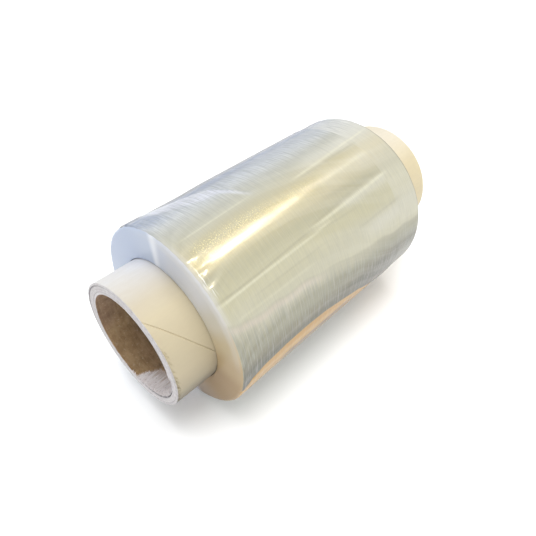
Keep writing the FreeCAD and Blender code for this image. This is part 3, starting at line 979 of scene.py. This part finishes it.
def core_skin(core, at, radius):
    """The radius with the seam outside, the winding's ridge and the torn place inside, and slow waves."""
    away = np.minimum(at.columns, FULL_TURN - at.columns) * CORE_RADIUS
    seam = smooth(0.32 * MM, 0.1 * MM, away)
    radius = radius - np.where(at.outside, core.seam_depth * seam, 0)
    uneven = waves(21, at.around, at.across, 10, (2, 14), (0, 40))
    radius = radius - np.where(at.outside, 0.03 * MM * (1 + uneven), 0)
    ripple = waves(22, at.around, at.across, 10, (2, 12), (0, 30))
    from_ridge = (at.around - at.helix - 2.2 + np.pi) % FULL_TURN - np.pi
    ridge = hump(0, 1.1 * MM, from_ridge * core.bore_radius)
    radius = radius + np.where(at.inside, 0.05 * MM * (1 + ripple) - 0.12 * MM * ridge, 0)
    strands = waves(24, at.around, at.across, 20, (60, 190), (10, 60))
    peeled = np.clip(core.torn_depth + 0.10 * MM * strands, 0.2 * MM, (CORE_RADIUS - core.bore_radius) * 0.3)
    lowered = np.maximum(radius, core.bore_radius + peeled * at.torn)
    return np.where(at.inside & (at.torn > 0), lowered, radius)


def cut_places(core, at, radius):
    """Adds the measures for the cut ends: depth in the wall as a share, 0 on the lines between the plies and
    up to 1 off them, the groove beside the torn place, and how frayed the mouth's lower front is."""
    at.depth = (CORE_RADIUS - radius) / (CORE_RADIUS - core.bore_radius)
    wavering = 0.02 * waves(26, at.around, at.across * 0, 8, (1, 7), (0, 0))
    at.off_lines = np.abs(np.sin(np.pi * (4 * at.depth + wavering))) ** 0.5
    at.groove = hump(0.76, 0.10, at.depth) * smooth(82, 92, at.degrees) * smooth(178, 158, at.degrees)
    frayed = np.clip(waves(27, at.around, at.across * 0, 16, (60, 230), (0, 0)) + 0.3, 0, 2)
    at.frayed = frayed * smooth(25, 60, at.degrees) * smooth(190, 130, at.degrees)
    at.gone = at.ends & at.near & (at.reach > 0) & (at.depth > 0.84)


def cut_bite(at, radius):
    """How far the cut ends are worn in from their full length, in metres."""
    furry = waves(25, at.around, radius * 400, 18, (30, 160), (-1, 1))
    bite = np.where(at.ends, 0.16 * MM * (1 - at.off_lines) + 0.05 * MM * np.abs(furry), 0)
    at_mouth = at.ends & at.near
    bite = bite + np.where(at_mouth, 0.35 * MM * at.groove, 0)
    bite = bite + np.where(at_mouth & (at.depth < 0.12), 0.22 * MM * at.frayed, 0)
    missing = smooth(0.80, 0.88, at.depth) * (at.reach > 0)
    return bite + np.where(at_mouth, np.minimum(missing * at.reach * MM, 0.8 * MM), 0)


def worn_mouth(core, at, radius):
    """The radius with the near mouth's edges frayed outside and worn inside, and the torn ply's end gone."""
    torn_off = np.where(at.near & (at.from_mouth < 1.1), 0.30 * MM * at.frayed, 0)
    radius = np.minimum(radius, CORE_RADIUS - torn_off)
    worn = waves(28, at.around, at.across * 0, 16, (20, 150), (0, 0))
    worn = np.clip(worn * smooth(-30, 10, at.turned) * smooth(150, 110, at.degrees), 0, 2)
    radius = radius + np.where((at.depth > 0.93) & (at.from_mouth < 1.2), 0.16 * MM * worn, 0)
    return np.where(at.gone, np.maximum(radius, core.bore_radius + core.torn_depth), radius)


def ply_joints_and_shade_mark(at):
    """How dark the lines between the plies are on the cut ends, from 0 to 1, with painted shade in the
    groove beside the torn place and in the split where the plies fray.
    """
    mark = smooth(0.55, 0.15, at.off_lines) * (0.3 + 0.3 * hump(-60, 75, at.turned))
    mark = np.maximum(mark, hump(0.20, 0.07, at.depth) * hump(-62, 62, at.turned) * at.near)
    split = hump(0.2, 0.08, at.depth) * np.clip(at.frayed, 0, 1) * at.near
    return np.where(at.ends, np.maximum(mark, np.maximum(at.groove * at.near, 0.5 * split)), 0)


class WRAP_OT_core(bpy.types.Operator):
    """Build the paperboard core with its seam, its plies and the torn place in the near mouth"""

    bl_idname = "wrap_roll.core"
    bl_label = "Paper Core"

    def execute(self, context):
        core = context.scene.wrap_core
        across, radius, zone = core_rows(core)
        at = core_places(core, across, zone)
        radius = core_skin(core, at, radius)
        cut_places(core, at, radius)
        bite = cut_bite(at, radius)
        radius = worn_mouth(core, at, radius)
        points = on_roll(across + np.where(at.near, bite, -bite), at.around, radius)
        surface = np.broadcast_to(zone, radius.shape).copy()
        surface[(at.torn > 0.5) & at.inside] = TORN
        surface[at.gone] = TORN
        piece = woven_piece(
            "paper_core",
            points,
            np.broadcast_to(at.columns / FULL_TURN, radius.shape),
            np.broadcast_to(np.linspace(0, 1, len(zone))[:, None], radius.shape),
            [paint_outer_ply(core), paint_cut_edge(core), paint_bore(core), paint_torn(core)],
            surface,
            {"ply_joints_and_shade": ply_joints_and_shade_mark(at)},
        )
        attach(piece, "root")
        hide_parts("core_tube")
        return {"FINISHED"}


class WRAP_OT_fibres(bpy.types.Operator):
    """Add loose paper fibres round the near mouth, most of them at the torn place"""

    bl_idname = "wrap_roll.fibres"
    bl_label = "Mouth Fibres"

    def execute(self, context):
        core = context.scene.wrap_core
        random = np.random.default_rng(31)
        corners = []
        faces = []
        for _ in range(core.fibres):
            at = np.radians(random.normal(150, 38))
            reach = random.uniform(0.4, 1.7) * MM
            width = random.uniform(0.05, 0.13) * MM
            start = CORE_RADIUS - random.uniform(0.75, 0.98) * (CORE_RADIUS - core.bore_radius)
            lean = random.normal(0, 0.5)
            curl = random.normal(0, 0.6)
            first = len(corners)
            for part in np.linspace(0, 1, 6):
                radius = start - reach * part
                side = (lean * part + curl * part * part) * reach / start
                deep = NEAR_MOUTH + (0.22 + 0.5 * part * abs(lean)) * MM
                half = width * (1 - 0.7 * part) / start
                for offset, lift in ((-half, 0.0), (half, 0.0), (0.0, width * 0.8)):
                    corners.append(on_roll(deep + lift, at + side + offset, radius).tolist())
            for step in range(5):
                base = first + 3 * step
                for edge in range(3):
                    other = (edge + 1) % 3
                    faces.append((base + edge, base + 3 + edge, base + 3 + other, base + other))
            faces.append((first, first + 1, first + 2))
            faces.append((first + 15, first + 17, first + 16))
        mesh = bpy.data.meshes.new("mouth_fibres")
        mesh.from_pydata(corners, [], faces)
        mesh.materials.append(paint_torn(core))
        mesh.update()
        piece = bpy.data.objects.new("mouth_fibres", mesh)
        context.scene.collection.objects.link(piece)
        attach(piece, "root")
        return {"FINISHED"}


def add_floor(stage):
    half = stage.floor_size / 2
    corners = [(-half, -half, 0), (half, -half, 0), (half, half, 0), (-half, half, 0)]
    mesh = bpy.data.meshes.new("floor")
    mesh.from_pydata(corners, [], [(0, 1, 2, 3)])
    recipe = Recipe(bpy.data.materials.new("floor_paper"))
    grain = recipe.stretched(recipe.place("Object"), (30.0, 30.0, 30.0))
    tint = tuple(stage.floor_tint)
    paper = recipe.finish(
        Base_Color=recipe.mix(grain, tint, blend(tint, WHITE, 0.15)),
        Roughness=0.95,
        Specular_IOR_Level=0.1,
        Emission_Color=solid(WHITE),
        Emission_Strength=0.08,
    )
    mesh.materials.append(paper)
    floor = bpy.data.objects.new("floor", mesh)
    bpy.context.scene.collection.objects.link(floor)
    return floor


def add_surroundings(stage):
    """Light from all round, cool on one side and warm on the other. It is darker toward the horizon, so that
    the film's outline isn't washed out by its gloss."""
    recipe = Recipe(bpy.data.worlds.new("surroundings"), "Background")
    direction = recipe.place("Generated")
    toward = recipe.add("ShaderNodeVectorMath", {"operation": "DOT_PRODUCT"}, Vector=direction)
    toward.inputs[1].default_value = WARM_SIDE
    side = recipe.levels(toward.outputs["Value"], -0.8, 0.8)
    tint = recipe.mix(side, tuple(stage.cool_tint), tuple(stage.warm_tint))
    fall = recipe.levels(recipe.parts(direction)["Z"], 0.02, 0.65, 0.4)
    dimmed = recipe.add("ShaderNodeVectorMath", {"operation": "SCALE"}, Vector=tint, Scale=fall)
    sky = recipe.finish(Color=dimmed.outputs["Vector"], Strength=stage.sky_strength)
    bpy.context.scene.world = sky


def add_lamp(name, place, target, size, power, tint):
    """A rectangular lamp that faces its target."""
    lamp = bpy.data.lights.new(name, "AREA")
    lamp.shape = "RECTANGLE"
    lamp.size = size[0]
    lamp.size_y = size[1]
    lamp.energy = power
    lamp.color = tint
    holder = bpy.data.objects.new(name, lamp)
    holder.location = place
    holder.rotation_euler = (Vector(target) - Vector(place)).to_track_quat("-Z", "Y").to_euler()
    bpy.context.scene.collection.objects.link(holder)
    return holder


def strip_turn(place, run):
    """A strip lamp's turn: its long side along its run, its face toward the roll."""
    face = (Vector(STRIP_TARGET) - place).normalized()
    side = face.cross(run).normalized()
    along = side.cross(face).normalized()
    return Matrix((along, -side, -face)).transposed().to_euler()


def add_strips():
    """Two long lamps that only show in the gloss, the near one wider, for a highlight that tapers."""
    run = Vector(STRIP_RUN).normalized()
    for name, shift, size, power in STRIPS:
        place = Vector(STRIP_PLACE) + shift * run
        strip = add_lamp(name, place, STRIP_TARGET, size, power, (1.0, 0.94, 0.76))
        strip.data.shape = "ELLIPSE"
        strip.rotation_euler = strip_turn(place, run)
        strip.visible_diffuse = False


def add_soft_lamps(floor):
    """A soft lamp overhead, and one for the floor alone, which keeps it white close to the roll's shadow."""
    middle = (0.0, 0.0, AXIS_HEIGHT)
    overhead = add_lamp("overhead_box", (0.03, -0.03, 1.20), middle, (0.7, 0.7), 7.0, WHITE)
    overhead.visible_glossy = False
    floor_only = bpy.data.collections.new("floor_only")
    floor_only.objects.link(floor)
    floor_lamp = add_lamp("floor_lamp", (-0.18, -0.20, 1.10), middle, (0.66, 0.66), 4.2, WHITE)
    floor_lamp.visible_glossy = False
    floor_lamp.light_linking.receiver_collection = floor_only


def add_camera():
    camera = bpy.data.objects.new("photo_camera", bpy.data.cameras.new("photo_camera"))
    camera.data.lens = CAMERA_LENS
    camera.data.sensor_width = 36.0
    camera.data.clip_start = 0.005
    ahead = Vector(CAMERA_AHEAD).normalized()
    right = Vector(CAMERA_RIGHT).normalized()
    turned = Matrix((right, right.cross(ahead), -ahead)).transposed().to_4x4()
    camera.matrix_world = Matrix.Translation(CAMERA_PLACE) @ turned
    bpy.context.scene.collection.objects.link(camera)
    bpy.context.scene.camera = camera


class WRAP_OT_stage(bpy.types.Operator):
    """Add the pale floor, the soft studio light and the camera"""

    bl_idname = "wrap_roll.stage"
    bl_label = "Stage"

    def execute(self, context):
        stage = context.scene.wrap_stage
        context.scene.view_settings.view_transform = "Standard"
        floor = add_floor(stage)
        add_surroundings(stage)
        add_soft_lamps(floor)
        add_strips()
        add_camera()
        return {"FINISHED"}


class WRAP_PT_roll(bpy.types.Panel):
    bl_idname = "WRAP_PT_roll"
    bl_label = "Stretch Wrap Roll"
    bl_space_type = "VIEW_3D"
    bl_region_type = "UI"
    bl_category = "Wrap Roll"

    def draw(self, context):
        scene = context.scene
        for settings, operators in (
            (scene.wrap_film, (WRAP_OT_film,)),
            (scene.wrap_core, (WRAP_OT_core, WRAP_OT_fibres)),
            (scene.wrap_stage, (WRAP_OT_stage,)),
        ):
            box = self.layout.box()
            for key in settings.__annotations__:
                box.prop(settings, key)
            for operator in operators:
                box.operator(operator.bl_idname)


CLASSES = (
    FilmSettings,
    CoreSettings,
    StageSettings,
    WRAP_OT_film,
    WRAP_OT_core,
    WRAP_OT_fibres,
    WRAP_OT_stage,
    WRAP_PT_roll,
)


def register():
    for each in CLASSES:
        bpy.utils.register_class(each)
    bpy.types.Scene.wrap_film = bpy.props.PointerProperty(type=FilmSettings)
    bpy.types.Scene.wrap_core = bpy.props.PointerProperty(type=CoreSettings)
    bpy.types.Scene.wrap_stage = bpy.props.PointerProperty(type=StageSettings)


def unregister():
    del bpy.types.Scene.wrap_stage
    del bpy.types.Scene.wrap_core
    del bpy.types.Scene.wrap_film
    for each in reversed(CLASSES):
        bpy.utils.unregister_class(each)


def main():
    register()
    bpy.ops.wrap_roll.film()
    bpy.ops.wrap_roll.core()
    bpy.ops.wrap_roll.fibres()
    bpy.ops.wrap_roll.stage()


if __name__ == "__main__":
    main()
